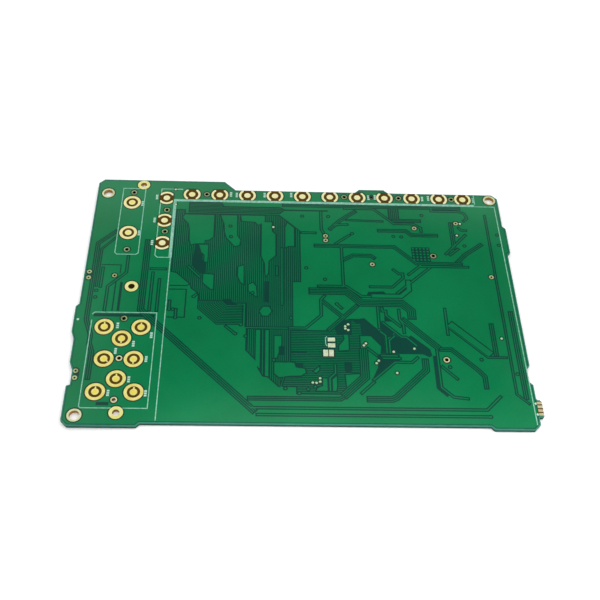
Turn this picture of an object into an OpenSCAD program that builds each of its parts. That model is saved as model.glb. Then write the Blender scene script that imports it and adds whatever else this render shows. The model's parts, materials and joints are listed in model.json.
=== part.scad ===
// Bare keypad and display circuit board: drilled laminate, etched copper, solder mask,
// gold-plated contacts and white legend. The board lies flat, front face up.

/* [Board] */
// Width of the main body
board_w = 199; // [190:1:260]
// Depth of the main body
board_d = 133; // [128:1:180]
// Thickness of the laminate
board_t = 1.6; // [0.8:0.1:3.2]
// Chamfer on the four outer corners
corner = 2.6; // [1:0.1:4]
// How far the rear left section stands out behind the main body
rear_step = 5.7; // [2:0.1:8]
// How far the rear tab stands out
rear_tab = 2.1; // [0.5:0.1:4]
// How far the two front feet stand out
front_foot = 1.5; // [0.5:0.1:4]
// How far the side tabs stand out
side_tab = 1.4; // [0.5:0.1:3]
// Depth of the two side recesses
side_recess = 1.6; // [0.5:0.1:3]
// How far the contact tab stands out on the right
contact_tab = 2.2; // [1.5:0.1:4]

/* [Copper and mask] */
// Thickness of the etched copper
copper_t = 0.07; // [0.035:0.005:0.14]
// Thickness of the solder mask
mask_t = 0.03; // [0.02:0.005:0.06]
// Bare margin between the copper and the board's edge
edge_margin = 0.9; // [0.3:0.1:2]
// Gap between separate pieces of copper
clearance = 0.6; // [0.3:0.05:0.8]
// Gap between a bare contact and the mask around it
mask_gap = 0.2; // [0.05:0.01:0.3]
// Thickness of the legend ink
ink_t = 0.02; // [0.01:0.005:0.05]

/* [Tracks] */
// Width of a single track
track_w = 0.5; // [0.3:0.05:0.8]
// Width of each track in a bus
bus_track_w = 0.3; // [0.2:0.05:0.4]
// Distance between neighbouring tracks in a bus
bus_pitch = 0.9; // [0.7:0.05:1.2]
// Diameter of a masked via
via_d = 0.9; // [0.6:0.1:1.6]

/* [Key contacts] */
// Outside diameter of a contact ring
key_ring_d = 8.3; // [7:0.1:8.4]
// Width of a closed contact ring, round a twin or cluster key
key_ring_w = 1.35; // [0.8:0.05:1.5]
// Width of an open contact ring, round a menu or side key
open_ring_w = 1.1; // [0.8:0.05:1.5]
// Diameter of the centre contact
key_pad_d = 3.2; // [2:0.1:4]
// Width of the neck that leads out of a cluster key's centre contact
key_neck_w = 0.6; // [0.4:0.1:1]
// Gap between a cluster key's neck and its ring
key_neck_gap = 0.3; // [0.2:0.05:0.6]
// Depth, front to rear, that is kept of a menu key's ring
menu_ring_depth = 6.4; // [5.8:0.1:7]
// Opening in a menu key's ring, at the front and at the rear
menu_ring_opening = 3.8; // [2:0.1:5]
// Width that is kept of a side key's ring
side_ring_w = 6.2; // [5.8:0.1:8]
// Opening in a side key's ring, on the left and on the right
side_ring_opening = 3.4; // [2:0.1:5]

/* [Holes] */
// Finished bore of a mounting hole
mounting_bore = 4.4; // [3:0.1:5]
// Finished bore of a ground screw hole
ground_bore = 3.0; // [2:0.1:3.5]
// Finished bore of a small plated hole
small_bore = 1.7; // [0.8:0.1:2]
// Finished bore of a pin hole
pin_bore = 0.9; // [0.6:0.1:1]
// Finished bore of a test point
test_bore = 1.0; // [0.6:0.1:1.2]
// Bore of the unplated hole
plain_bore = 1.8; // [1:0.1:2.5]
// Width of the land around a mounting hole
mounting_land = 0.85; // [0.5:0.05:1.2]
// Width of the land around a ground screw hole
ground_land = 1.5; // [0.8:0.1:1.8]
// Width of the land around a small plated hole
small_land = 0.55; // [0.4:0.05:0.9]
// Wall of the plating inside a hole
plating = 0.05; // [0.025:0.005:0.1]

/* [Legend] */
// Width of a thin legend line
line_w = 0.4; // [0.3:0.05:0.8]
// Width of a thick legend line
thick_line_w = 1.4; // [1:0.1:2]
// Length of a block in the legend marks beside the keys
block_l = 0.8; // [0.5:0.1:1]
// Width of a block in the legend marks beside the keys
block_w = 1.1; // [0.5:0.1:1.4]

/* [Hidden] */
$fn = 48;
cut_over = 0.1;

// Stack, from the back mask up
back_copper_z = mask_t;
laminate_z = back_copper_z + copper_t;
front_copper_z = laminate_z + board_t;
land_top_z = front_copper_z + copper_t;
front_top_z = land_top_z + mask_t;

// Layout positions are written for this board, from a datum a little in front of its middle.
// A wider or deeper board opens the bands between the anchored edges.
layout_size = [199, 133];
datum = [0, -0.5];
anchored_left = -58;
anchored_right = 84;
anchored_front = -8;
anchored_rear = 22;

function spread(v, low, high, extra) =
    v <= low ? v - extra / 2
    : v >= high ? v + extra / 2
    : v + extra * ((v - low) / (high - low) - 0.5);
function at_x(x) = spread(x, anchored_left, anchored_right, board_w - layout_size.x) + datum.x;
function at_y(y) = spread(y, anchored_front, anchored_rear, board_d - layout_size.y) + datum.y;
function at(p) = [at_x(p.x), at_y(p.y)];
function route(points) = [for (p = points) at(p)];

left = -board_w / 2;
right = board_w / 2;
front = -board_d / 2;
rear = board_d / 2;
// The origin is under the middle of the overall outline
middle = [(contact_tab - side_tab) / 2, (rear_step - front_foot) / 2];

outline = [
    [left + corner, front - front_foot],
    [at_x(-68.8), front - front_foot],
    [at_x(-68.8) + front_foot, front],
    [at_x(80) - front_foot, front],
    [at_x(80), front - front_foot],
    [right - corner, front - front_foot],
    [right, front - front_foot + corner],
    [right, at_y(-61.4)],
    [right + contact_tab - 0.6, at_y(-61.4)],
    [right + contact_tab, at_y(-61.4) + 0.6],
    [right + contact_tab, at_y(-53) - 0.8],
    [right + contact_tab - 0.8, at_y(-53)],
    [right + 0.6, at_y(-53)],
    [right, at_y(-53) + 0.6],
    [right, at_y(-43.8) - side_recess],
    [right - side_recess, at_y(-43.8)],
    [right - side_recess, at_y(-37)],
    [right, at_y(-37) + side_recess],
    [right, at_y(28)],
    [right + side_tab, at_y(28) + side_tab],
    [right + side_tab, at_y(46) - side_tab],
    [right, at_y(46)],
    [right, rear - corner],
    [right - corner, rear],
    [at_x(44.6), rear],
    [at_x(44.6) - rear_tab, rear + rear_tab],
    [at_x(28) + rear_tab, rear + rear_tab],
    [at_x(28), rear],
    [at_x(-37.3) + rear_step, rear],
    [at_x(-37.3), rear + rear_step],
    [left + corner, rear + rear_step],
    [left, rear + rear_step - corner],
    [left, at_y(-5.2)],
    [left - side_tab, at_y(-5.2) - side_tab],
    [left - side_tab, at_y(-20.5)],
    [left, at_y(-24.5)],
    [left, at_y(-36.5)],
    [left + side_recess, at_y(-40.5)],
    [left + side_recess, at_y(-47.8)],
    [left, at_y(-48.4)],
    [left, front - front_foot + corner],
];

// Holes and their places
mounting_holes = route([[-94.2, 63.4], [-94.2, -62.6], [95.4, 63.4]]);
ground_holes = route([[-77.3, 69.4], [-77.3, 5.1], [-77.3, -61.2]]);
small_holes = route([
    [-81.6, 64.1], [-81.6, 27.1], [-64.7, 52.8], [-64.7, 38.8], [-45.8, 63.8], [22.4, 63.8],
    [49.6, 63.7], [76.2, 63.5], [63.4, 26.3], [63.3, -33], [-78.8, -13.1], [-78.8, -34.3],
    [-78.8, -55.1],
]);
// Holes that the back mask closes: the middle ground hole, and every small hole but the front one
closed_ground_holes = [ground_holes[1]];
closed_small_holes = [for (i = [0 : len(small_holes) - 2]) small_holes[i]];
plain_hole = at([35.9, 64.2]);
pin_pairs = route([[-97.3, 11.6], [-96.4, -42.7]]);
pin_pitch = 3.5;
pin_land = 0.65;
pin_holes = [for (p = pin_pairs, side = [-1, 1]) p + [0, side * pin_pitch / 2]];
test_land = 0.6;
test_pair_pitch = 2.8;
test_points = concat(
    route([
        [-85.6, 11.3], [33.9, 20.5], [55.8, 43.7], [76.6, 47.4], [89.6, 13.9],
    ]),
    [for (side = [-1, 1]) at([12.3, 36.4]) + [0, side * test_pair_pitch / 2]]
);

// Key contacts
menu_key_y = 63.6;
menu_key_count = 10;
menu_key_pitch = 13.67;
first_menu_key_x = -53.1;
last_menu_key_x = 81.9;
menu_keys = concat(
    [for (i = [0 : menu_key_count - 1]) at([first_menu_key_x + i * menu_key_pitch, menu_key_y])],
    [at([last_menu_key_x, menu_key_y])]
);
side_keys = route([[-65.4, 60.9], [-65.4, 46], [-65.4, 31.6]]);
twin_keys = route([[-82, 57.4], [-82, 37.7]]);
// Each cluster key's place and the side its neck leads to
cluster_keys = [
    [at([-87, -17.7]), 90], [at([-70.9, -17.7]), 90], [at([-78.8, -23.9]), -90],
    [at([-85.3, -34.6]), -40], [at([-72.6, -34.6]), -90], [at([-79, -44.7]), 90],
    [at([-87, -51.2]), 90], [at([-71, -51.2]), 90],
];

// Bare surface-mount pads: place, size
smd_pads = [
    [[13.1, -23], [3.2, 2]], [[13.1, -26.1], [3.2, 2.2]],
    [[10.4, -30.2], [2.1, 3.4]], [[12.9, -30.2], [2, 3.4]],
];
smd_middle = at([12, -27]) - [12, -27];
// Bare test dots
dot_d = 1.1;
dots = concat(
    route([
        [-12.8, 42.9], [76.3, 39.6], [89.3, -21.2], [49.6, -27.3], [40.3, -29.1], [41, -40.1],
        [78.7, 47.3], [-61.4, 66.8], [-60.7, 56.7],
    ]),
    [for (p = [[0.6, 0.9], [-0.75, -0.2], [-0.75, -1.45], [0.5, -2.2]]) at([20.3, -15.5]) + p],
    [for (p = [[0.6, 0.5], [-0.35, -0.6]]) at([27.7, -25.3]) + p],
    [for (p = [[0.6, 0.6], [-0.4, -0.7]]) at([32.8, -34.5]) + p],
    [for (p = [[-1.7, -0.4], [-0.1, -0.5], [1.5, 0.1], [1.5, 1.8]]) at([6.1, -45.1]) + p]
);

// Edge contacts along the contact tab: lands on both faces, joined by a plated half hole
edge_contact_count = 4;
edge_contact_pitch = 1.85;
edge_contact_bore = 0.7;
edge_contact_land = [2.2, 1.25];
edge_contacts_middle = -57.2;
edge_contacts_y = [
    for (i = [0 : edge_contact_count - 1])
        at_y(edge_contacts_middle) + (i - (edge_contact_count - 1) / 2) * edge_contact_pitch
];

// Single tracks
tracks = [
    // rear, right of the middle
    [[22, 56], [36.5, 56], [46, 46.5], [55.5, 46.5], [59, 44], [59, 41.5]],
    [[16.5, 45], [23.2, 45.4]],
    [[10.4, 53.5], [10.4, 42], [11.5, 39.5]],
    [[0.8, 39.6], [7.5, 39.6]],
    [[65.3, 57.5], [65.3, 55.3], [78.5, 55.3], [81.3, 54.2], [82.3, 52], [82.3, 50.5], [80.6, 49]],
    [[77.6, 44.6], [78.6, 43], [81.2, 42.8]],
    [[24, 38.5], [17, 33]],
    [[56, 19.7], [79.3, 19.7]],
    [[80.5, 40], [69.5, 27.5]],
    [[76, 31], [71.5, 27]],
    [[61, 19], [44.4, 3.4]],
    [[57, 20.5], [50.5, 14.5]],
    [[43.5, 17.5], [46, 15], [47.8, 15], [47.8, 12.5], [42.5, 7], [32, 7]],
    // middle
    [[19.7, 31], [19.7, 7.5], [21, 7], [27.8, 1.3], [32, 1.3]],
    [[-5.5, -17], [1.8, -17], [9, -9.8], [9, -1], [10.8, 1.4]],
    [[8, 7], [20, 7]],
    [[16.5, -3.6], [18.5, -5.8]],
    [[-33.8, -16.5], [-29.7, -20.4]],
    [[34.8, -4.5], [34.8, -16.5]],
    [[36.7, -5], [36.7, -6.9], [38.3, -6.9], [38.3, -9.3], [44.4, -15.4]],
    [[44.3, -6], [44.3, -11.3], [45.8, -14.5], [45.8, -19]],
    [[30.5, -44], [40.5, -34.6], [48, -34.6], [50.7, -32]],
    [[36.4, -13.2], [44.4, -21.2], [46.5, -21.2], [51, -26]],
    [[35, -18.2], [37.4, -20.4], [37.4, -29.9]],
    [[41.5, -20.5], [38.8, -23.2], [38.8, -29.9]],
    [[34.6, -31.3], [42, -31.3]],
    [[35.2, -32.6], [43, -32.6]],
    [[28.8, -27.4], [33, -31.4]],
    [[30.8, -44.9], [25, -50.7]],
    [[14.3, -36], [14.3, -40.6], [11.8, -43.1], [11.8, -49.6]],
    [[59.5, -28], [59.5, -47.2], [64.3, -52], [70.5, -52.8]],
    // right
    [[65.4, -5], [65.4, -19.6]],
    [[60.8, -36.5], [67, -43]],
    [[-22.5, -57.6], [-21.9, -58.2], [77.8, -58.2], [84.5, -51.5]],
    [[-19.2, -61.5], [78.5, -61.5]],
    // left strip
    [[-91.3, 15.8], [-91.3, 4.5]],
    [[-80.4, 23], [-80.4, 13.2], [-83.4, 9.9], [-88, 5], [-88, -9]],
    [[-62.4, 15.6], [-69.4, 15.6]],
    [[-68.2, 13.4], [-68.2, -8.4]],
    [[-64.9, 9.5], [-64.9, -8.8]],
    // left of the display area
    [[-8.7, 29.5], [-8.7, -4.2]],
    [[-11, 18.2], [-11, 13]],
    [[-52.2, 17.4], [-46.4, 10.9]],
    [[-59.4, -2.8], [-59.4, -7.4]],
    [[-56.3, -7.5], [-56.3, -12]],
    [[-48.8, -0.3], [-47.4, 1.3]],
];
// Wide power tracks: width, then route
power_tracks = [
    [1.8, [[32.5, 1.7], [46, 1.7], [50, 5.5], [50, 11]]],
    [3, [[66.8, -13.6], [83.2, -30]]],
];
// Buses of parallel tracks: how many, then the route of their middle
buses = [
    [2, [[-8, 57.4], [79.5, 57.4]]],
    [2, [[14.5, 42], [19.6, 47.9], [27.5, 54.2]]],
    [1, [[22.8, 48.3], [40.5, 47.8]]],
    [2, [[45.3, 48.5], [59, 48.5]]],
    [2, [[38, 41.8], [51.5, 41.8], [54, 39.2], [66.5, 39.2]]],
    [2, [[74, 47.5], [74, 31]]],
    [2, [[7, 31.5], [45, 31.5], [54.9, 21.6], [76.5, 21.3]]],
    [2, [[74.5, 22.5], [79, 27.5], [87.5, 34]]],
    [2, [[20.5, 23], [25, 25.8], [33.5, 25.7], [35.2, 24.2]]],
    [3, [[-72, 33], [-72, -8.2], [-24.6, -55.6], [-20.2, -60]]],
    [12, [[-41.2, -2.6], [-41.2, -4.6], [-35.7, -10.1], [-26.6, -10.1]]],
    [2, [[-23, -53.6], [16, -53.6], [17.5, -52.6]]],
    [4, [[4, 4], [21, 4], [27.5, -2.5], [46, -2.5], [50, -6.5], [50, -11]]],
    [2, [[9.6, -1.6], [19, -11]]],
    [2, [[25.5, -4], [19, -10.8], [12, -18]]],
    [3, [[45.5, -11.5], [60.5, -27]]],
    [2, [[61, -27.6], [66, -27.6], [76.5, -38.2], [79, -41.5], [79, -47.5]]],
    [3, [[53.8, -33], [53.8, -38.6], [39.8, -52.6], [38, -53.5], [27.5, -53.5]]],
    [4, [[27, -28], [27, -42.5], [17.5, -52]]],
    [2, [[85.6, -13.5], [85.6, -30.5]]],
    [1, [[66, -15.6], [81.8, -31.5], [90, -31.5]]],
    [1, [[91.6, 53], [91.6, -50.3], [96.3, -55]]],
    [2, [[95.4, -6.5], [95.4, -52.5]]],
    [2, [
        [-87.4, 38.5], [-95.3, 30.6], [-95.3, -14], [-92.5, -22], [-92.5, -26.5], [-90.9, -31],
        [-90.9, -45],
    ]],
    [1, [[-87.4, 34.2], [-93.2, 27.2], [-93.2, 5]]],
];
// Slits that only part the pour: width, then route
slits = [
    [0.6, [[-60.3, 3.8], [-52.3, 3.8], [-52.3, -12], [-60.3, -12]]],
    [0.6, [[-60.3, 6], [-52.2, 6], [-51, 7.2]]],
    [0.6, [[74, 65.3], [78, 65.3]]],
    [0.6, [[74, 64.8], [78, 64.8]]],
    [0.5, [[-92.2, 17.6], [-83.2, 17.6], [-83.2, 12.4]]],
    [0.6, [[-84.6, 8], [-84.6, -9]]],
    [1.2, [[-82, 7.5], [-82, -9]]],
    [1.3, [[58, -31], [58, -47.6], [62, -51.6]]],
];
// Pieces of bare laminate, with no copper but the tracks that cross them
clearings = [
    [
        [23, -12.2], [28.3, -11], [35, -18.4], [36.5, -20.3], [36.5, -30.3], [34.4, -30.3],
        [34.9, -26.4], [30.8, -21.2], [28.6, -20.2], [26.6, -20.2], [26.3, -14.6], [24, -13.6]
    ],
    [[35.6, -13.4], [41, -18.8], [40.4, -20.8], [38.4, -21.6], [35.6, -18.4]],
    [[37.4, -9.7], [37.4, -12.8], [40.6, -12.8]],
    [
        [39.5, -22.9], [41.7, -20.8], [47.5, -21], [48.7, -20.2], [56.6, -27.6], [57.2, -31],
        [55.8, -31.8], [53, -30.3], [39.5, -30.3]
    ],
    [
        [33, -30.6], [42.8, -30.6], [43, -33.6], [40.3, -34.2], [31.5, -43], [30.2, -43.4],
        [32.8, -37.6], [33.2, -34.5]
    ],
    [[30, 1.6], [36, 1.6], [37.6, 0.4], [39.4, 2.8], [38.2, 4.4], [31, 4]],
    [
        [-49.8, 31.2], [-48, 31.2], [-46.2, 25], [-45.5, 20.4], [-43.9, 20.4], [-43.9, 13.2],
        [-46.6, 13.2], [-50.6, 18]
    ],
    [
        [-35.2, -1.4], [-31.6, -1.4], [-31, -3.6], [-28.2, -4.6], [-28.2, -6.8], [-33, -6.8],
        [-35.2, -5]
    ],
    [[-16.9, 9.3], [-14.7, 9.3], [-14.3, -3.2], [-16.9, -2.6]],
    [[-4.9, -29.2], [2.2, -29.2], [2.2, -30.4], [-4.9, -30.4]],
    [[-10.2, -27], [-7.4, -27], [-7.4, -31.6], [-10.2, -31.6]],
    [[-3.2, -35.4], [0.2, -35.4], [0.8, -36.8], [-1, -38.4], [-2.8, -37.4]],
    [[14.6, -16.3], [18.2, -12.7], [22.3, -12.7], [22.3, -20.2], [15.6, -20.2]],
    [[18.3, -35.2], [21.7, -35.2], [21.7, -39.6], [19.6, -40.6], [18.3, -39.6]],
    [[53.1, 31.6], [62, 31.6], [62, 22.4], [53.1, 22.4]],
    [[-92.4, -10.6], [-65.4, -10.6], [-65.4, -12.2], [-92.4, -12.2]],
    [[-86, -56.2], [-80.8, -56.2], [-80.8, -57.8], [-86, -57.8]],
];
// Fields of fine parallel tracks: direction in degrees, then the field's outline
fields = [
    // left of the display area
    [90, [
        [-60.2, 53.5], [-55.4, 53.5], [-55.4, 51], [-10, 51], [0.25, 40.75], [0.25, 9], [-3.6, 9],
        [-3.6, -17], [-25.4, -17], [-25.4, -4], [-46.95, -4], [-46.95, 1.4], [-50.3, 4.3],
        [-51.3, 7], [-57.5, 13.2], [-60.2, 14]
    ]],
    [0, [
        [-54.2, 58.6], [-38, 58.6], [-37, 56], [-9.5, 56], [-7, 54.5], [14, 54.5], [14, 53.6],
        [-7.5, 53.6], [-9.6, 51.4], [-54.2, 51.4]
    ]],
    // middle of the front half
    [90, [
        [-24.8, -17.4], [-5.5, -17.4], [-5.5, -34], [-9.5, -48], [-10.3, -48], [-15, -43.2],
        [-17.2, -42.8], [-19.4, -38.5], [-19.6, -35.5], [-24.8, -29.4]
    ]],
    [0, [
        [-5.3, -18], [12.5, -18], [18, -12.5], [22, -11.5], [28.5, -11.5], [34, -17], [34, -21],
        [26, -21], [26, -43], [18.6, -50.5], [18.6, -51.5], [-2.8, -51.5], [-2.8, -48],
        [-9.2, -47.8], [-5.3, -34]
    ]],
    [90, [[43.5, 57.5], [49, 57.5], [49, 48.3], [43.5, 48.3]]],
];
// Pieces of the pour left standing inside the fields
islands = [
    [
        [-56.6, 48], [-55.6, 50], [-41.5, 50], [-41.5, 36], [-43.5, 34], [-45.4, 33.8],
        [-45.5, 31.8], [-50, 31.5], [-51.8, 30.8], [-52.6, 34], [-52.8, 40], [-53.5, 44]
    ],
    [[-48, 30.8], [-43.6, 30.8], [-43.6, 20.5], [-45, 20.5], [-45, 24.5], [-47.3, 27]],
    [
        [-38.3, 50], [-30.5, 50], [-30.2, 37], [-28.5, 34], [-29, 31], [-31, 30.3],
        [-35, 35.5], [-36, 39], [-36.3, 44]
    ],
    [[-28.5, 50], [-17, 50], [-17, 46.4], [-20, 44], [-21.5, 46], [-28, 46.5]],
    [
        [-18.3, 46], [-13.5, 46], [-13.5, 40], [-11.8, 38], [-11.8, 25], [-15, 21.5],
        [-15.2, 14], [-16.2, 12.2], [-16.6, 20], [-18.3, 24.5]
    ],
    [[-45, 13], [-40.3, 12.6], [-40.3, 4.3], [-41.2, 4.2], [-45, 8]],
    [[-29, 17.5], [-26.6, 18.5], [-26.4, 7.6], [-27.7, 8.5], [-29, 12]],
    [[-24, 7], [-22, 8.2], [-20.6, 6], [-20.2, 0.4], [-21.5, 1.2], [-23.9, 3.5]],
    [[-7, 42.5], [-7, 30], [-5.5, 31], [-2.9, 31], [-2.9, 42.6], [-6, 45.7]],
    [[-18.8, -8], [-17.2, -5.5], [-14.5, -5.5], [-13.5, -8], [-15, -10.4], [-17.5, -10.4]],
    [[-12, -21.5], [-9, -21.5], [-9, -26], [-11, -33], [-12, -33]],
    [
        [-12, -35.5], [-3.5, -35.5], [-2.8, -38], [1, -38.6], [1.5, -40.5], [-0.5, -42],
        [-6, -42.3], [-10, -43], [-12, -41]
    ],
    [[8.8, -43.4], [10.6, -43.4], [10.6, -49.5], [6, -49.5], [6.5, -48.3], [8.8, -47.2]],
    [[13, -49.5], [13, -43.9], [14.7, -42.2], [14.7, -47], [14.3, -49.5]],
    [[18.7, -41.5], [24.7, -41], [24.7, -43.2], [19, -48.9]],
    [[18.6, -20.4], [20.6, -20.4], [20.6, -28.4], [16.4, -28.9], [16.4, -26.4], [19, -22.8]],
    [[-20.2, -18.4], [-18.4, -18.4], [-18.4, -38.9], [-20.2, -35.9]],
    [[-16, -18.4], [-14.6, -18.4], [-14.6, -42.6], [-16, -42.4]],
    [[30, -31], [32, -31], [32, -39.5], [30, -41]],
    [[5, -39.8], [7.3, -37.5], [7.3, -39], [6, -40.5]],
    [[-6.3, -48], [-3.6, -48], [-3.4, -51.3], [-6.3, -51.3]],
];
// Masked vias
vias = route([
    [45.2, 38.2], [49, 38], [60.2, 52.3], [1.3, 50.4], [14, 50.4], [11.3, 11], [2.7, 17.7],
    [-48.8, -0.2], [-45.5, -12.2], [-27, -15.6], [-24.8, -21.8], [-22.1, 2.4], [-7.3, -48.6],
    [-4.6, -11.5], [78.7, -32.7], [93.5, -40], [-59.4, -7.6], [-57.7, -7.6], [-56.3, -12.2],
    [-29.4, -20.5], [78.8, -61.5], [-33, 36.2], [-33.5, 43], [5.4, -47.6], [16.3, -3.3],
    [-92.9, 2.4], [-92.9, -1.4], [96.1, 40.3], [96, 33.8], [-12.3, -34.2], [79.2, 33],
    [64.4, -36.8], [-1.4, -50.9], [2.4, -48.9], [25.2, 39.6],
]);
thermal_via_d = 1;
thermal_gap = 0.4;
thermal_rows = 5;
thermal_pitch = 1.75;
thermal_middle = at([57.5, 27.2]);
thermal_vias = [
    for (i = [0 : thermal_rows - 1], j = [0 : thermal_rows - 1])
        thermal_middle + ([i, j] - [1, 1] * (thermal_rows - 1) / 2) * thermal_pitch
];

// Legend
lines = [
    // cluster frame
    [[-92.9, -10.8], [-91.9, -9.8], [-64.6, -9.8], [-64.6, -59.1], [-92.2, -59.1], [-92.9, -58.4],
        [-92.9, -14.2]],
    // twin key frame
    [[-81.5, 66.8], [-87, 66.8], [-87, 25.1], [-86, 24.1], [-81.5, 24.1]],
    [[-81.5, 66.8], [-76.1, 66.8], [-76.1, 25.1], [-77.1, 24.1], [-81.5, 24.1]],
    // side key frame, which runs on as the left side of the display frame
    [[-58, 66.9], [-68.2, 66.9], [-68.2, 23.8], [-67, 22.6], [-60.9, 22.6], [-60.9, -64.6]],
    // bracket beside the surface-mount pads
    [[11, -21.6], [10.5, -22.2], [10.5, -25.4], [11, -26.4]],
    // end of the menu key row
    [[87.7, 60.5], [87.7, 66.2]],
    // right side of the display frame
    [[87.7, 58.9], [97.3, 58.9], [98, -65]],
];
thick_lines = [
    [[-61.1, 22.6], [-61.1, 59.4], [87.4, 59.4]],
];
// Legend marks beside the keys, each a short upright row of blocks
marks = route([
    [-76.9, 56.7], [-76.9, 37.5], [-70.2, 61.3], [-70.2, 46], [-70.2, 31.6],
    [-33.9, 64], [-31, 63.7], [-17.2, 64], [-4, 64.5], [34.6, 63.7], [37.8, 64],
    [61.5, 63.5], [64.6, 64], [87.1, 63.2],
    [-81.2, -17], [-66, -22], [-73.4, -26.7], [-80.7, -30.6], [-67.2, -34.6],
    [-73.6, -45], [-81.6, -51.8], [-66, -51.8],
]);
legend_dots = route([
    [98.95, -54.8], [98.95, -60.1], [-99, -13.9],
]);
legend_dot_d = 1.1;
mark_blocks = 3;
block_pitch = 1.1;

function named(base, count) = [for (i = [1 : count]) str(base, "_", i)];

// Outline of a strip along points, with mitred bends and ends run on by extra
function unit(v) = v / norm(v);
function turned(v) = [-v.y, v.x];
function mitre(a, b) = (a + b) * 2 / ((a + b) * (a + b));
function edge_of(points, offset, extra) =
    let (
        last = len(points) - 1,
        dirs = [for (i = [0 : last - 1]) unit(points[i + 1] - points[i])]
    )
    [
        for (i = [0 : last])
            let (
                before = dirs[max(i - 1, 0)],
                after = dirs[min(i, last - 1)],
                run_on = (i == last ? 1 : 0) - (i == 0 ? 1 : 0)
            )
            points[i] + mitre(turned(before), turned(after)) * offset + after * run_on * extra
    ];
function reversed(list) = [for (i = [len(list) - 1 : -1 : 0]) list[i]];

module strip(points, width, extra = 0) {
    polygon(concat(edge_of(points, width / 2, extra), reversed(edge_of(points, -width / 2, extra))));
}

// Strips side by side along points
module parallel_strips(count, points, width) {
    for (i = [0 : count - 1])
        strip(edge_of(points, (i - (count - 1) / 2) * bus_pitch, 0), width);
}

module discs(places, d) {
    for (p = places)
        translate(p) circle(d = d);
}

module board_shape() {
    polygon(outline);
}

// A disc cut down to a band of the given size
module cut_disc(d, band) {
    intersection() {
        circle(d = d);
        square(band, center = true);
    }
}

// Lands that show on both faces of the board, grown on all sides
module barrel_lands(grow) {
    discs(mounting_holes, mounting_bore + 2 * (mounting_land + grow));
    discs(ground_holes, ground_bore + 2 * (ground_land + grow));
    discs(small_holes, small_bore + 2 * (small_land + grow));
    discs(pin_holes, pin_bore + 2 * (pin_land + grow));
    discs(test_points, test_bore + 2 * (test_land + grow));
    translate([right + contact_tab, at_y(edge_contacts_middle)])
        square(
            [
                2 * (edge_contact_land.x + grow),
                (edge_contact_count - 1) * edge_contact_pitch + edge_contact_land.y + 2 * grow
            ],
            center = true
        );
    translate(plain_hole) circle(d = plain_bore + 2 * grow);
}

// Every bare land on the front, grown on all sides
module bare_lands(grow) {
    barrel_lands(grow);
    for (p = menu_keys)
        translate(p) cut_disc(key_ring_d + 2 * grow, [key_ring_d, menu_ring_depth] + [2, 2] * grow);
    for (p = side_keys)
        translate(p) cut_disc(key_ring_d + 2 * grow, [side_ring_w, key_ring_d] + [2, 2] * grow);
    discs(twin_keys, key_ring_d + 2 * grow);
    discs([for (k = cluster_keys) k[0]], key_ring_d + 2 * grow);
    discs(dots, dot_d + 2 * grow);
    for (pad = smd_pads)
        translate(smd_middle + pad[0])
            square(pad[1] + [2, 2] * grow, center = true);
}

// What pour and tracks keep clear of
module kept_clear() {
    bare_lands(clearance);
    for (p = pin_pairs)
        translate(p)
            square([pin_bore + 2 * (pin_land + clearance), pin_pitch], center = true);
}

// Everything cleared out of the pour for tracks and vias
module routed_areas() {
    for (t = tracks)
        strip(route(t), track_w + 2 * clearance, clearance);
    for (t = power_tracks)
        strip(route(t[1]), t[0] + 2 * clearance, clearance);
    for (b = buses)
        strip(route(b[1]), (b[0] - 1) * bus_pitch + bus_track_w + 2 * clearance, clearance);
    for (s = slits)
        strip(route(s[1]), s[0]);
    discs(vias, via_d + 2 * clearance);
    discs(thermal_vias, thermal_via_d + 2 * thermal_gap);
}

// The pour with its islands
module pour_shape() {
    difference() {
        offset(delta = -edge_margin) board_shape();
        routed_areas();
        for (c = clearings)
            polygon(route(c));
        difference() {
            for (f = fields)
                polygon(route(f[1]));
            for (i = islands)
                polygon(route(i));
        }
        kept_clear();
    }
}

// Every single track, bus and via land
module tracks_shape() {
    difference() {
        union() {
            for (t = tracks)
                strip(route(t), track_w);
            for (t = power_tracks)
                strip(route(t[1]), t[0]);
            for (b = buses)
                parallel_strips(b[0], route(b[1]), bus_track_w);
            discs(vias, via_d);
            discs(thermal_vias, thermal_via_d);
        }
        kept_clear();
    }
}

// Fine tracks of the bus fields
module field_tracks_shape() {
    difference() {
        for (f = fields)
            field_tracks(f[0], route(f[1]));
        for (i = islands)
            offset(delta = clearance) polygon(route(i));
        for (c = clearings)
            polygon(route(c));
        routed_areas();
        kept_clear();
    }
}

// Parallel tracks in one direction, cut off at a field's outline
module field_tracks(angle, field) {
    along = [cos(angle), sin(angle)];
    across = turned(along);
    heights = [for (p = field) p * across];
    lengths = [for (p = field) p * along];
    intersection() {
        offset(delta = -clearance) polygon(field);
        rotate(angle)
            for (y = [min(heights) + bus_pitch : bus_pitch : max(heights) - bus_pitch / 2])
                translate([min(lengths), y - bus_track_w / 2])
                    square([max(lengths) - min(lengths), bus_track_w]);
    }
}

// A barrel through the board with a land on each face
module plated_barrel(bore, land) {
    rotate_extrude()
        polygon([
            [bore / 2, back_copper_z],
            [bore / 2 + land, back_copper_z],
            [bore / 2 + land, laminate_z],
            [bore / 2 + plating, laminate_z],
            [bore / 2 + plating, front_copper_z],
            [bore / 2 + land, front_copper_z],
            [bore / 2 + land, land_top_z],
            [bore / 2, land_top_z],
        ]);
}

module drills(places, bore, low, high) {
    for (p = places)
        translate([p.x, p.y, low - cut_over])
            cylinder(d = bore, h = high - low + 2 * cut_over);
}

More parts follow.
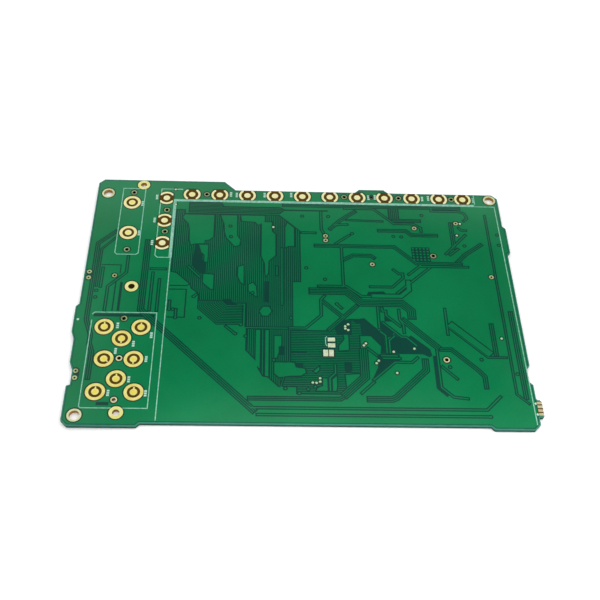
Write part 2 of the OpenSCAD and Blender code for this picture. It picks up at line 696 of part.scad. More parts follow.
module laminate() {
    color("olivedrab")
        difference() {
            translate([0, 0, laminate_z]) linear_extrude(board_t) board_shape();
            drills(mounting_holes, mounting_bore + 2 * plating, laminate_z, front_copper_z);
            drills(ground_holes, ground_bore + 2 * plating, laminate_z, front_copper_z);
            drills(small_holes, small_bore + 2 * plating, laminate_z, front_copper_z);
            drills(pin_holes, pin_bore + 2 * plating, laminate_z, front_copper_z);
            drills(test_points, test_bore + 2 * plating, laminate_z, front_copper_z);
            drills([plain_hole], plain_bore, laminate_z, front_copper_z);
            drills(
                [for (y = edge_contacts_y) [right + contact_tab, y]],
                edge_contact_bore + 2 * plating,
                laminate_z,
                front_copper_z
            );
        }
}

// A layer of the given plan
module layer(z, height) {
    translate([0, 0, z]) linear_extrude(height) children();
}

module front_pour() {
    color("goldenrod") layer(front_copper_z, copper_t) pour_shape();
}

module front_tracks() {
    color("goldenrod") layer(front_copper_z, copper_t) tracks_shape();
}

module front_bus_tracks() {
    color("goldenrod") layer(front_copper_z, copper_t) field_tracks_shape();
}

// The mask fills the etched gaps and lies level over the copper
module front_solder_mask() {
    color("green")
        difference() {
            layer(front_copper_z, copper_t + mask_t)
                difference() {
                    board_shape();
                    bare_lands(mask_gap);
                }
            front_pour();
            front_tracks();
            front_bus_tracks();
        }
}

module back_pour() {
    color("goldenrod")
        layer(back_copper_z, copper_t)
            difference() {
                offset(delta = -edge_margin) board_shape();
                barrel_lands(clearance);
            }
}

// Lands and bores that the back mask runs across
module closed_lands(grow) {
    discs(closed_ground_holes, ground_bore + 2 * (ground_land + grow));
    discs(closed_small_holes, small_bore + 2 * (small_land + grow));
}

// The back mask leaves the lands bare, but closes some of the holes
module back_solder_mask() {
    color("green")
        difference() {
            layer(0, laminate_z)
                difference() {
                    board_shape();
                    difference() {
                        barrel_lands(mask_gap);
                        closed_lands(mask_gap);
                    }
                }
            back_pour();
            layer(back_copper_z, copper_t + cut_over) closed_lands(0);
        }
}

module front_legend() {
    color("white")
        layer(front_top_z, ink_t)
            difference() {
                union() {
                    for (l = lines)
                        strip(route(l), line_w, line_w / 2);
                    for (l = thick_lines)
                        strip(route(l), thick_line_w);
                    for (p = marks, i = [0 : mark_blocks - 1])
                        translate(p + [0, (i - (mark_blocks - 1) / 2) * block_pitch])
                            square([block_w, block_l], center = true);
                    discs(legend_dots, legend_dot_d);
                }
                bare_lands(mask_gap);
            }
}

// Ring and centre contact of one key; the ring is cut down to a band, and may have an opening
// across its middle
module key_contact(ring_w, band, opening = undef) {
    color("gold")
        layer(front_copper_z, copper_t) {
            difference() {
                cut_disc(key_ring_d, band);
                circle(d = key_ring_d - 2 * ring_w);
                if (opening != undef) square(opening, center = true);
            }
            circle(d = key_pad_d);
        }
}

module menu_key_contact(place) {
    translate(place)
        key_contact(open_ring_w, [key_ring_d, menu_ring_depth], [menu_ring_opening, key_ring_d]);
}

module side_key_contact(place) {
    translate(place)
        key_contact(open_ring_w, [side_ring_w, key_ring_d], [key_ring_d, side_ring_opening]);
}

module twin_key_contact(place) {
    translate(place) key_contact(key_ring_w, [key_ring_d, key_ring_d]);
}

// A cluster key's centre contact has a neck that stops short of the ring
module cluster_key_contact(place, neck_angle) {
    neck_end = key_ring_d / 2 - key_ring_w - key_neck_gap;
    translate(place) {
        key_contact(key_ring_w, [key_ring_d, key_ring_d]);
        color("gold")
            layer(front_copper_z, copper_t)
                rotate(neck_angle)
                    translate([0, -key_neck_w / 2])
                        square([neck_end, key_neck_w]);
    }
}

module surface_pads() {
    color("gold")
        layer(front_copper_z, copper_t)
            for (pad = smd_pads)
                translate(smd_middle + pad[0]) square(pad[1], center = true);
}

module test_dots() {
    color("gold") layer(front_copper_z, copper_t) discs(dots, dot_d);
}

module barrels(places, bore, land) {
    color("gold")
        for (p = places)
            translate(p) plated_barrel(bore, land);
}

// A land on each face and the half hole between them
module edge_contact_platings() {
    wall_d = edge_contact_bore + 2 * plating;
    color("gold")
        for (y = edge_contacts_y)
            translate([right + contact_tab, y])
                difference() {
                    union() {
                        for (z = [back_copper_z, front_copper_z])
                            translate([-edge_contact_land.x, -edge_contact_land.y / 2, z])
                                cube([edge_contact_land.x, edge_contact_land.y, copper_t]);
                        intersection() {
                            translate([0, 0, laminate_z]) cylinder(d = wall_d, h = board_t);
                            translate([-wall_d, -wall_d / 2, 0]) cube([wall_d, wall_d, front_top_z]);
                        }
                    }
                    translate([0, 0, -cut_over])
                        cylinder(d = edge_contact_bore, h = front_top_z + 2 * cut_over);
                }
}

// Moves the board so that its origin is under the middle of its outline
module in_place() {
    translate(-middle) children();
}

in_place() laminate();
in_place() front_pour();
in_place() front_tracks();
in_place() front_bus_tracks();
in_place() front_solder_mask();
in_place() front_legend();
in_place() back_pour();
in_place() back_solder_mask();
in_place() surface_pads();
in_place() test_dots();
in_place() barrels(test_points, test_bore, test_land);  // test_point_platings
in_place() barrels(pin_holes, pin_bore, pin_land);  // pin_hole_platings
in_place() edge_contact_platings();
for (i = [1 : len(mounting_holes)])
    in_place() barrels([mounting_holes[i - 1]], mounting_bore, mounting_land);
for (i = [1 : len(ground_holes)])
    in_place() barrels([ground_holes[i - 1]], ground_bore, ground_land);
for (i = [1 : len(small_holes)])
    in_place() barrels([small_holes[i - 1]], small_bore, small_land);
for (i = [1 : len(menu_keys)])
    in_place() menu_key_contact(menu_keys[i - 1]);
for (i = [1 : len(side_keys)])
    in_place() side_key_contact(side_keys[i - 1]);
for (i = [1 : len(twin_keys)])
    in_place() twin_key_contact(twin_keys[i - 1]);
for (i = [1 : len(cluster_keys)])
    in_place() cluster_key_contact(cluster_keys[i - 1][0], cluster_keys[i - 1][1]);
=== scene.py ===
"""Looks of the bare circuit board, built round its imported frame. Lengths are in metres."""
import bpy
import json
import math
import numpy as np
from mathutils import Matrix, Vector


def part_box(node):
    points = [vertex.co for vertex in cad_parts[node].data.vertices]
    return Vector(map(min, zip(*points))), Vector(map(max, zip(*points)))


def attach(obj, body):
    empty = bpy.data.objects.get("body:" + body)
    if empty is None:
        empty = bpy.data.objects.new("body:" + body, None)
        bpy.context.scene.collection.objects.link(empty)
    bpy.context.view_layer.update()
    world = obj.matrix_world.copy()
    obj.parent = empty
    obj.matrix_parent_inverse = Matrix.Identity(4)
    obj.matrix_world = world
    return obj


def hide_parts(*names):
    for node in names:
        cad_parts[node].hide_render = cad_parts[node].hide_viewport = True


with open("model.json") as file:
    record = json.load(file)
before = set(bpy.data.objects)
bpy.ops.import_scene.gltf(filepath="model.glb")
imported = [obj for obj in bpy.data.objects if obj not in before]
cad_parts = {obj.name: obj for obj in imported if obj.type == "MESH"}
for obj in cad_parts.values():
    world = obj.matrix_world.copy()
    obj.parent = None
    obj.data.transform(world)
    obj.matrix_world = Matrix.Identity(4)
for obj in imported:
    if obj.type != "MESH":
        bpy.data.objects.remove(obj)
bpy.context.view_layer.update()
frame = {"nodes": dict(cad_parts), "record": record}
nodes = frame["nodes"]

# A face is level if its normal's Z is larger than this, and upright if not
LEVEL = 0.5
# Heights closer than this count as one height
SAME_HEIGHT = 0.00001
# Corners whose places agree to this many digits count as one corner
PLACE_DIGITS = 7


def spot(co):
    """A corner's place, rounded so that corners that touch give the same one."""
    return tuple(round(c, PLACE_DIGITS) for c in co)


def srgb(r, g, b):
    """A colour given from 0 to 255, as linear RGBA."""
    def linear(v):
        v /= 255
        return v / 12.92 if v <= 0.04045 else ((v + 0.055) / 1.055) ** 2.4
    return (linear(r), linear(g), linear(b), 1)


# ---------------------------------------------------------------- node helpers
# Noise seldom leaves the first range. The second, spread in its place, gives patches with harder borders
NOISE_RANGE = (0.3, 0.7)
PATCH_RANGE = (0.35, 0.65)


def give(tree, socket, value):
    """Links a socket to an output, or sets its plain value. None leaves it as it is."""
    if isinstance(value, bpy.types.NodeSocket):
        tree.links.new(value, socket)
    elif value is not None:
        socket.default_value = value


def add_node(tree, kind, values=(), **settings):
    """A new node, whose first inputs are given the values in order."""
    node = tree.nodes.new(kind)
    for key, value in settings.items():
        setattr(node, key, value)
    for socket, value in zip(node.inputs, values):
        give(tree, socket, value)
    return node


class Look:
    """One material, with short ways to add the nodes that feed its shader."""

    def __init__(self, name):
        self.material = bpy.data.materials.new(name)
        self.material.use_nodes = True
        self.tree = self.material.node_tree
        self.shader = self.tree.nodes["Principled BSDF"]
        places = self.add("ShaderNodeTexCoord").outputs
        self.place = places["Object"]
        self.boxed = places["Generated"]

    def add(self, kind, values=(), **settings):
        return add_node(self.tree, kind, values, **settings)

    def shade(self, **values):
        """Gives values to the shader's sockets, each named with _ for its spaces."""
        for key, value in values.items():
            give(self.tree, self.shader.inputs[key.replace("_", " ")], value)

    def stretched(self, scale):
        """The place on the board, scaled differently along each axis."""
        return self.add("ShaderNodeMapping", (self.place, None, None, scale)).outputs["Vector"]

    def noise(self, scale, detail, roughness=0.5, at=None):
        """Noise with about as many features to the metre as its scale says."""
        values = (at or self.place, None, scale, detail, roughness)
        return self.add("ShaderNodeTexNoise", values).outputs["Fac"]

    def bands(self, scale, direction):
        """Even bands across one direction, about 0.3 / scale metres apart."""
        settings = {"wave_type": "BANDS", "bands_direction": direction}
        return self.add("ShaderNodeTexWave", (self.place, scale, 0), **settings).outputs["Fac"]

    def spread(self, value, low, high, new_low=0.0, new_high=1.0):
        """A value that goes from low to high, spread to go from new_low to new_high."""
        values = (value, low, high, new_low, new_high)
        return self.add("ShaderNodeMapRange", values).outputs["Result"]

    def uneven(self, noise, new_low=0.0, new_high=1.0):
        """Noise, spread to go from new_low to new_high."""
        return self.spread(noise, *NOISE_RANGE, new_low, new_high)

    def patchy(self, noise):
        """Noise as patches, spread to go from 0 to 1."""
        return self.spread(noise, *PATCH_RANGE)

    def math(self, operation, a, b=None):
        return self.add("ShaderNodeMath", (a, b), operation=operation).outputs[0]

    def mix(self, share, first, second, blend="MIX"):
        """The first colour with a share of the second, which are the node's seventh and eighth inputs."""
        values = (share, *(None,) * 5, first, second)
        return self.add("ShaderNodeMix", values, data_type="RGBA", blend_type=blend).outputs[2]

    def level_face(self):
        """1 on faces that look straight up or down, 0 on upright ones."""
        normal = self.add("ShaderNodeNewGeometry").outputs["Normal"]
        facing = self.add("ShaderNodeSeparateXYZ", (normal,)).outputs["Z"]
        return self.math("GREATER_THAN", self.math("ABSOLUTE", facing), LEVEL)

    def height(self):
        """Height over the board's underside."""
        return self.add("ShaderNodeSeparateXYZ", (self.place,)).outputs["Z"]

    def middle(self, inner, outer):
        """1 at the middle of the piece's own box, 0 past the outer share of its width."""
        centre = (0.5, 0.5, 0.5)
        level_only = (1, 1, 0)
        offset = self.add("ShaderNodeVectorMath", (self.boxed, centre), operation="SUBTRACT").outputs[0]
        flat = self.add("ShaderNodeVectorMath", (offset, level_only), operation="MULTIPLY").outputs[0]
        away = self.add("ShaderNodeVectorMath", (flat,), operation="LENGTH").outputs["Value"]
        return self.spread(away, inner, outer, 1.0, 0.0)

    def bump(self, height, distance):
        """A relief as deep as the distance."""
        node = self.add("ShaderNodeBump")
        give(self.tree, node.inputs["Distance"], distance)
        give(self.tree, node.inputs["Height"], height)
        self.shade(Normal=node.outputs["Normal"])


# ---------------------------------------------------------------- materials
# Threads of the glass cloth, about half a millimetre apart
WEAVE = 620
# How a thread shows in the mask: the part of its wave that counts, its shade, its strength and its relief
THREAD_RANGE = (0.1, 0.9)
THREAD_SHADE = 0.72
THREAD_STRENGTH = 0.35
THREAD_RELIEF = 0.6

# Refractive index of mask and laminate, and of ink
RESIN_IOR = 1.5
INK_IOR = 1.45
# Specular level of the mask, and of laminate and ink
MASK_SHINE = 0.4
LOW_SHINE = 0.1
MASK_ROUGHNESS = (0.07, 0.11)
LAMINATE_ROUGHNESS = (0.5, 0.75)
COPPER_ROUGHNESS = (0.3, 0.5)
INK_ROUGHNESS = (0.45, 0.6)
# The mask's colour is multiplied by this range in fine patches
MASK_DEPTH = (0.955, 1.03)
# Scale and detail of the orange-peel skin, and the depth of its relief
SKIN = (2600, 2)
SKIN_RELIEF = 0.000004
# How far from the board's edge the painted light of the pale rim fades into the darker mask
PAINTED_RIM_END = (0.00045, 0.00055)
# The attribute that holds each corner's distance from the board's edge
FROM_EDGE = "from_edge"

# How far the grain takes the roughness of plate below and above its middle value
GRAIN_BELOW = 0.06
GRAIN_ABOVE = 0.08
METAL_RELIEF = 0.000003
BARREL_ROUGHNESS = 0.4
# Where the painted reflection in the middle of a contact ends, as a share of the contact's width
REFLECTION_END = (0.075, 0.125)

# The heights between which the milled edge turns from its painted shadow below to its painted light above
PAINTED_LIGHT_HEIGHT = (0.0008, 0.0011)
# How often the layers of the edge change along the board, across it and in height
LAYERS = (900, 900, 7000)
LAYER_RELIEF = 0.00002
INK_RELIEF = 0.000006
# The copper's upright sides, which the mask wraps over
WRAPPED = srgb(4, 84, 56)


def finish_mask(look, skin):
    """The gloss of cured mask over the relief of its skin."""
    look.shade(IOR=RESIN_IOR, Specular_IOR_Level=MASK_SHINE)
    look.shade(Roughness=look.uneven(look.noise(90, 4), *MASK_ROUGHNESS))
    look.bump(skin, SKIN_RELIEF)


def finish_plate(look, roughness):
    """Metal with the fine handling marks of plate."""
    grain = look.noise(5200, 3, 0.7)
    look.shade(Metallic=1.0)
    look.shade(Roughness=look.uneven(grain, roughness - GRAIN_BELOW, roughness + GRAIN_ABOVE))
    look.bump(grain, METAL_RELIEF)


def plate_patches(look):
    """The patches in the colour of plate."""
    return look.patchy(look.noise(420, 4, 0.6))


def mask_material(name, low, high, weave):
    """Cured solder mask: slightly uneven in depth of colour, with a fine orange-peel skin."""
    look = Look(name)
    cloud = look.uneven(look.noise(26, 3))
    depth = look.uneven(look.noise(1400, 2), *MASK_DEPTH)
    grey = look.add("ShaderNodeCombineColor", (depth, depth, depth)).outputs[0]
    base = look.mix(1.0, look.mix(cloud, low, high), grey, "MULTIPLY")
    skin = look.noise(*SKIN)
    if weave:
        threads = look.math("MULTIPLY", look.bands(WEAVE, "X"), look.bands(WEAVE, "Y"))
        dark = tuple(v * THREAD_SHADE for v in low[:3]) + (1,)
        base = look.mix(look.spread(threads, *THREAD_RANGE, 0.0, THREAD_STRENGTH), base, dark)
        skin = look.math("ADD", skin, look.math("MULTIPLY", threads, THREAD_RELIEF))
    look.shade(Base_Color=base)
    finish_mask(look, skin)
    return look.material


def edge_material():
    """Mask along the board's edge: dark beside the copper, and pale at the rim with painted light, a
    painted highlight of light scattering in at the edge.
    """
    look = Look("mask_at_board_edge")
    inward = look.add("ShaderNodeAttribute", attribute_name=FROM_EDGE).outputs["Fac"]
    cloud = look.uneven(look.noise(300, 3))
    # Painted light: the pale rim stands for light scattering in at the board's edge
    painted_rim_light = look.mix(cloud, srgb(40, 120, 97), srgb(52, 134, 111))
    bare = look.mix(cloud, srgb(8, 74, 56), srgb(14, 86, 66))
    look.shade(Base_Color=look.mix(look.spread(inward, *PAINTED_RIM_END), painted_rim_light, bare))
    finish_mask(look, look.noise(*SKIN))
    return look.material


def plate_material(name, low, high, roughness, painted_reflection=None):
    """Bright plate, a little uneven. A painted reflection, in a yellower colour, shows in the middle of
    each piece.
    """
    look = Look(name)
    base = look.mix(plate_patches(look), low, high)
    # A painted reflection: a yellower disc in the middle of the contact
    if painted_reflection:
        base = look.mix(look.middle(*REFLECTION_END), base, painted_reflection)
    look.shade(Base_Color=base)
    finish_plate(look, roughness)
    return look.material


def barrel_material(name, low, high, wall_low, wall_high):
    """Plated hole: bright land, and a duller, browner wall in the given colours, painted light for holes
    that light gets into and painted shade for the rest.
    """
    look = Look(name)
    patches = plate_patches(look)
    wall = look.mix(patches, wall_low, wall_high)
    look.shade(Base_Color=look.mix(look.level_face(), wall, look.mix(patches, low, high)))
    finish_plate(look, BARREL_ROUGHNESS)
    return look.material


def laminate_material():
    """Glass-epoxy: dark brown woven top where it is bare; a milled edge with painted shadow on its lower
    half and painted light on its upper half.
    """
    look = Look("glass_epoxy")
    threads = look.math("MAXIMUM", look.bands(WEAVE, "X"), look.bands(WEAVE, "Y"))
    top = look.mix(threads, srgb(56, 38, 2), srgb(86, 62, 8))
    layers = look.noise(1, 3, 0.6, look.stretched(LAYERS))
    streaks = look.patchy(layers)
    # Painted shadow on the lower half of the milled edge, and painted light on its upper half
    dark = look.mix(streaks, srgb(22, 46, 42), srgb(38, 65, 58))
    painted_lit_half = look.mix(streaks, srgb(53, 115, 98), srgb(65, 131, 112))
    side = look.mix(look.spread(look.height(), *PAINTED_LIGHT_HEIGHT), dark, painted_lit_half)
    look.shade(IOR=RESIN_IOR, Specular_IOR_Level=LOW_SHINE)
    look.shade(Base_Color=look.mix(look.level_face(), side, top))
    look.shade(Roughness=look.uneven(look.noise(3000, 2), *LAMINATE_ROUGHNESS))
    look.bump(layers, LAYER_RELIEF)
    return look.material


def copper_material():
    """Etched copper; its walls are green, because the mask wraps over them."""
    look = Look("etched_copper")
    level = look.level_face()
    bright = look.mix(look.uneven(look.noise(300, 4)), srgb(196, 112, 74), srgb(222, 146, 104))
    look.shade(Metallic=level, Base_Color=look.mix(level, WRAPPED, bright))
    look.shade(Roughness=look.uneven(look.noise(2400, 3), *COPPER_ROUGHNESS))
    look.bump(look.noise(6000, 2), METAL_RELIEF)
    return look.material


def ink_material(name, low, high):
    """Screen-printed ink: thin enough for the green to tint it, mottled by the mesh of the screen."""
    look = Look(name)
    mottle = look.uneven(look.noise(900, 4, 0.6))
    look.shade(IOR=INK_IOR, Specular_IOR_Level=LOW_SHINE)
    look.shade(Base_Color=look.mix(mottle, low, high))
    look.shade(Roughness=look.uneven(look.noise(2000, 2), *INK_ROUGHNESS))
    look.bump(mottle, INK_RELIEF)
    return look.material


# ---------------------------------------------------------------- finish of each node
over_copper = mask_material("mask_over_copper", srgb(4, 110, 64), srgb(9, 121, 73), False)

# The finish for each material slot of the record
FINISH = {
    "laminate": laminate_material(),
    "copper": copper_material(),
    "solder_mask": over_copper,
    "legend_ink": ink_material("legend_ink", srgb(100, 166, 144), srgb(158, 206, 186)),
    "gold_plate": plate_material("pale_gold", srgb(250, 246, 172), srgb(255, 254, 214), 0.48),
    "bright_tin": plate_material("bright_tin", srgb(204, 228, 184), srgb(238, 250, 222), 0.45),
}
# Painted light on the walls of holes that light gets into, and painted shade on those that stay dark
LIT_WALL = (srgb(150, 104, 48), srgb(200, 148, 82))
SHADED_WALL = (srgb(40, 28, 10), srgb(70, 50, 22))
# The plating that looks different, for one node or for all numbered nodes of that name
OWN_FINISH = {
    # The last colour of each key contact is its painted reflection
    "cluster_key_contact": plate_material(
        "deep_gold", srgb(240, 226, 122), srgb(255, 246, 164), 0.46, srgb(252, 236, 88)),
    "twin_key_contact": plate_material(
        "warm_gold", srgb(250, 240, 158), srgb(255, 250, 200), 0.48, srgb(252, 244, 128)),
    "test_dots": plate_material("dot_tin", srgb(172, 226, 180), srgb(208, 248, 208), 0.45),
    "mounting_hole_plating": barrel_material(
        "mounting_gold", srgb(210, 222, 168), srgb(236, 244, 196), *LIT_WALL),
    "ground_hole_plating": barrel_material(
        "ground_gold", srgb(244, 242, 144), srgb(255, 254, 184), *LIT_WALL),
    "small_hole_plating": barrel_material(
        "small_hole_gold", srgb(134, 160, 112), srgb(176, 200, 150), *SHADED_WALL),
    "test_point_platings": barrel_material(
        "test_point_gold", srgb(168, 182, 132), srgb(202, 212, 162), *SHADED_WALL),
    "pin_hole_platings": barrel_material(
        "pin_hole_gold", srgb(158, 180, 128), srgb(198, 216, 164), *SHADED_WALL),
    "edge_contact_platings": barrel_material(
        "edge_contact_gold", srgb(200, 188, 142), srgb(230, 220, 176), *SHADED_WALL),
}
# The small holes that are as bright as the wide ones
BRIGHT_HOLES = (10, 12, 13)
bright_hole = barrel_material(
    "bright_hole_gold", srgb(214, 222, 166), srgb(242, 246, 202), *LIT_WALL)
for number in BRIGHT_HOLES:
    OWN_FINISH[f"small_hole_plating_{number}"] = bright_hole


def finish_of(part):
    """A node's own finish, or else that of its kind, or else that of its material slot."""
    name = part["node"]
    kind = name.rstrip("0123456789").rstrip("_")
    return OWN_FINISH.get(name) or OWN_FINISH.get(kind) or FINISH[part["material_slot"]]


for part in frame["record"]["subparts"]:
    materials = nodes[part["node"]].data.materials
    materials.clear()
    materials.append(finish_of(part))


# ---------------------------------------------------------------- legend marks
# The key marks and dots of the legend are no larger than this, and carry more ink than its lines
MARK_SIZE = 0.003
full_ink = ink_material("full_legend_ink", srgb(152, 198, 180), srgb(194, 222, 208))


def separate_pieces(mesh):
    """The faces of a mesh in groups, one for each piece that touches no other."""
    parent = {}

    def top(place):
        while parent.setdefault(place, place) != place:
            place = parent[place]
        return place

    places = [spot(vertex.co) for vertex in mesh.vertices]
    for face in mesh.polygons:
        first, *rest = (places[i] for i in face.vertices)
        for place in rest:
            parent[top(place)] = top(first)
    groups = {}
    for face in mesh.polygons:
        groups.setdefault(top(places[face.vertices[0]]), []).append(face)
    return groups.values()


def finish_small_pieces(mesh, largest, finish):
    """Gives a finish of its own to each piece that is no wider or deeper than the largest mark."""
    mesh.materials.append(finish)
    slot = len(mesh.materials) - 1
    for faces in separate_pieces(mesh):
        corners = [mesh.vertices[i].co for face in faces for i in face.vertices]
        spans = [max(c[axis] for c in corners) - min(c[axis] for c in corners) for axis in (0, 1)]
        if max(spans) <= largest:
            for face in faces:
                face.material_index = slot


finish_small_pieces(nodes["front_legend"].data, MARK_SIZE, full_ink)


# ---------------------------------------------------------------- mask that follows the copper
# The thickness that the CAD mask has over copper
MASK_THICKNESS = 0.00003
# A face of mask on the laminate belongs to the board's edge if all of it is this close to that edge
EDGE_BAND = 0.0013
# Side faces shorter than this, such as the facets of holes, aren't runs of the edge
SHORTEST_RUN = 0.0005
# The inner side shows only in closed holes, where its dark brown is painted shade
MASK_FINISHES = (
    over_copper,
    mask_material("mask_over_laminate", srgb(9, 59, 50), srgb(14, 70, 58), True),
    edge_material(),
    # Painted shade: the dark brown inside a closed hole
    mask_material("mask_in_closed_hole_painted_shade", srgb(34, 26, 8), srgb(52, 40, 16), False),
)
ON_COPPER, ON_LAMINATE, AT_EDGE, INNER_SIDE = range(len(MASK_FINISHES))


def outline_segments():
    """The straight runs of the board's edge, from the laminate's side faces."""
    runs = set()
    mesh = nodes["laminate"].data
    for face in mesh.polygons:
        if abs(face.normal.z) > LEVEL:
            continue
        ends = sorted({spot(mesh.vertices[v].co.xy) for v in face.vertices})
        if math.dist(ends[0], ends[-1]) > SHORTEST_RUN:
            runs.add((ends[0], ends[-1]))
    return np.array(sorted(runs))


def edge_distance(points, runs):
    """How far each point is from the nearest run of the board's edge."""
    start, end = runs[:, 0], runs[:, 1]
    along = end - start
    share = ((points[:, None] - start) * along).sum(2) / (along * along).sum(1)
    nearest = start + np.clip(share, 0, 1)[..., None] * along
    return np.linalg.norm(points[:, None] - nearest, axis=2).min(1)


def following_mask(node, name, side):
    """The level CAD mask, redrawn as an even coat that steps down between the pieces of copper.

    side is 1 on the front and -1 on the back. The CAD mask's inner side follows the copper already, so
    it is kept, and the outer side is the same again, one thickness further out. The walls of the rim and
    of the openings then end one thickness from the laminate.
    """
    mesh = nodes[node].data
    low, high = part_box(node)
    outer, inner = (high[2], low[2]) if side > 0 else (low[2], high[2])
    thickness = side * MASK_THICKNESS
    outward = Vector((0, 0, thickness))
    places, faces, slots = {}, [], []

    def add_face(corners, slot):
        faces.append([places.setdefault(spot(co), len(places)) for co in corners])
        slots.append(slot)

    for face in mesh.polygons:
        corners = [mesh.vertices[v].co for v in face.vertices]
        on_outer = [abs(co.z - outer) < SAME_HEIGHT for co in corners]
        if all(on_outer):
            continue
        if any(on_outer):
            wall = [(co.x, co.y, inner + thickness if out else co.z) for co, out in zip(corners, on_outer)]
            add_face(wall, ON_LAMINATE)
            continue
        on_laminate = all(abs(co.z - inner) < SAME_HEIGHT for co in corners)
        add_face(corners, INNER_SIDE)
        add_face([co + outward for co in reversed(corners)], ON_LAMINATE if on_laminate else ON_COPPER)
    points = np.array(list(places))
    from_edge = edge_distance(points[:, :2], outline_segments())
    for i, face in enumerate(faces):
        if slots[i] == ON_LAMINATE and max(from_edge[v] for v in face) < EDGE_BAND:
            slots[i] = AT_EDGE
    new = bpy.data.meshes.new(name)
    new.from_pydata(points.tolist(), [], faces)
    for finish in MASK_FINISHES:
        new.materials.append(finish)
    new.polygons.foreach_set("material_index", slots)
    new.attributes.new(FROM_EDGE, "FLOAT", "POINT").data.foreach_set("value", from_edge)
    new.update()
    piece = bpy.data.objects.new(name, new)
    bpy.context.scene.collection.objects.link(piece)
    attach(piece, "root")
    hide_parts(node)


following_mask("front_solder_mask", "front_mask_coat", 1)
following_mask("back_solder_mask", "back_mask_coat", -1)


# ---------------------------------------------------------------- floor, light and camera
# Half the floor's width, and how far below the board it lies
FLOOR_HALF = 3
FLOOR_GAP = 0.0006
FLOOR_COLOUR = (0.98, 0.98, 0.98, 1)
# The floor's own glow: its strength is 0.12 up to 0.12 m from the board's middle, and 0.6 from 0.5 m on
FLOOR_GLOW = (0.12, 0.5, 0.12, 0.6)

WHITE = (1, 1, 1, 1)
# Strength of the white surroundings where they only give light
WORLD_LIGHT = 0.42
# The dark flag, in directions from the board: its middle, its turn, and its reach across, deep and high
NO_LIMIT = 1000
FLAG_MIDDLE = (0.062, 0.6, 0.79)
FLAG_TURN = (0, 0.06, 0)
FLAG_REACH = (0.305, NO_LIMIT, 0.082)
# Its strength is 0.06 up to 0.63 of its reach, and rises to 1 at its rim
FLAG_FADE = (0.63, 1, 0.06, 1)

# Degrees round the board from its front, above it, and of roll
CAMERA_AZIMUTH = -3.95
CAMERA_ELEVATION = 52.482
CAMERA_ROLL = 4.0166
# The point that it looks at, and how far off that is
CAMERA_AIM = (-0.000885, -0.003927, 0.0018)
CAMERA_DISTANCE = 0.41948
# In millimetres
CAMERA_LENS = 55.31
CAMERA_SENSOR = 36


def stage_floor():
    """A white floor just under the board; its own glow rises away from the board and keeps it white."""
    mesh = bpy.data.meshes.new("floor")
    sides = ((-1, -1), (1, -1), (1, 1), (-1, 1))
    mesh.from_pydata([(x * FLOOR_HALF, y * FLOOR_HALF, 0) for x, y in sides], [], [(0, 1, 2, 3)])
    floor = bpy.data.objects.new("floor", mesh)
    floor.location.z = -FLOOR_GAP
    bpy.context.scene.collection.objects.link(floor)
    material = bpy.data.materials.new("floor_white")
    material.use_nodes = True
    tree = material.node_tree
    tree.nodes.clear()
    diffuse = add_node(tree, "ShaderNodeBsdfDiffuse", (FLOOR_COLOUR,))
    place = add_node(tree, "ShaderNodeTexCoord").outputs["Object"]
    away = add_node(tree, "ShaderNodeVectorMath", (place,), operation="LENGTH").outputs["Value"]
    glow = add_node(tree, "ShaderNodeMapRange", (away, *FLOOR_GLOW)).outputs["Result"]
    seen = add_node(tree, "ShaderNodeLightPath").outputs["Is Camera Ray"]
    level = add_node(tree, "ShaderNodeMath", (glow, seen), operation="MULTIPLY").outputs[0]
    shine = add_node(tree, "ShaderNodeEmission", (None, level))
    both = add_node(tree, "ShaderNodeAddShader", (diffuse.outputs[0], shine.outputs[0]))
    add_node(tree, "ShaderNodeOutputMaterial", (both.outputs[0],))
    mesh.materials.append(material)


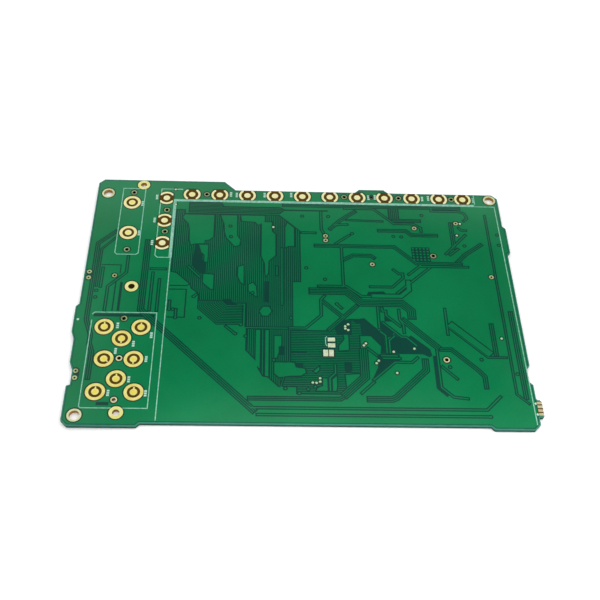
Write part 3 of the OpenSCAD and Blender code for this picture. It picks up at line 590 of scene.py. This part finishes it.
def stage_world():
    """White surroundings, with a soft dark flag behind the board that keeps the sheen off its middle."""
    world = bpy.data.worlds.new("studio")
    world.use_nodes = True
    tree = world.node_tree
    tree.nodes.clear()
    path = add_node(tree, "ShaderNodeLightPath").outputs
    place = add_node(tree, "ShaderNodeTexCoord").outputs["Generated"]
    from_flag = add_node(
        tree, "ShaderNodeMapping", (place, FLAG_MIDDLE, FLAG_TURN, FLAG_REACH), vector_type="TEXTURE")
    either_way = add_node(tree, "ShaderNodeVectorMath", (from_flag.outputs[0],), operation="ABSOLUTE")
    across = add_node(tree, "ShaderNodeSeparateXYZ", (either_way.outputs[0],)).outputs
    reach = add_node(tree, "ShaderNodeMath", (across["X"], across["Z"]), operation="MAXIMUM").outputs[0]
    flagged = add_node(tree, "ShaderNodeMapRange", (reach, *FLAG_FADE)).outputs["Result"]
    clear = (path["Is Camera Ray"], path["Is Transmission Ray"])
    seen = add_node(tree, "ShaderNodeMath", clear, operation="MAXIMUM").outputs[0]
    plain = add_node(tree, "ShaderNodeMapRange", (seen, 0, 1, WORLD_LIGHT, 1)).outputs["Result"]
    choice = (path["Is Glossy Ray"], None, plain, flagged)
    strength = add_node(tree, "ShaderNodeMix", choice, data_type="FLOAT").outputs[0]
    back = add_node(tree, "ShaderNodeBackground", (WHITE, strength))
    add_node(tree, "ShaderNodeOutputWorld", (back.outputs[0],))
    bpy.context.scene.world = world


def area_light(name, place, aim, size, watts):
    """A soft lamp. The white surroundings are what the metal mirrors, so no lamp shows in it."""
    data = bpy.data.lights.new(name, "AREA")
    data.shape = "RECTANGLE"
    data.size, data.size_y = size
    data.energy = watts
    lamp = bpy.data.objects.new(name, data)
    lamp.location = place
    lamp.rotation_euler = (Vector(aim) - Vector(place)).to_track_quat("-Z", "Y").to_euler()
    lamp.visible_glossy = False
    lamp.visible_camera = False
    bpy.context.scene.collection.objects.link(lamp)


def stage_camera():
    """The camera, placed by the way it looks at its aim, and rolled about that line."""
    azimuth, elevation, roll = map(math.radians, (CAMERA_AZIMUTH, CAMERA_ELEVATION, CAMERA_ROLL))
    back = Vector((
        math.sin(azimuth) * math.cos(elevation),
        -math.cos(azimuth) * math.cos(elevation),
        math.sin(elevation),
    ))
    right = Vector((math.cos(azimuth), math.sin(azimuth), 0))
    up = back.cross(right)
    rolled_right = right * math.cos(roll) + up * math.sin(roll)
    rolled_up = up * math.cos(roll) - right * math.sin(roll)
    turn = Matrix((rolled_right, rolled_up, back)).transposed()
    place = Vector(CAMERA_AIM) + back * CAMERA_DISTANCE
    data = bpy.data.cameras.new("camera")
    data.lens = CAMERA_LENS
    data.sensor_width = CAMERA_SENSOR
    camera = bpy.data.objects.new("camera", data)
    camera.matrix_world = Matrix.Translation(place) @ turn.to_4x4()
    bpy.context.scene.collection.objects.link(camera)
    bpy.context.scene.camera = camera


stage_floor()
stage_world()
# A broad lamp overhead, and a faint strip over the front edge
area_light("top_panel", place=(0, 0, 0.6), aim=(0, 0, 0), size=(1.0, 1.0), watts=4.2)
area_light("front_strip", place=(0.03, -0.075, 0.03), aim=(0.03, -0.075, 0), size=(0.2, 0.02), watts=0.015)
stage_camera()
bpy.context.scene.view_settings.view_transform = "Standard"
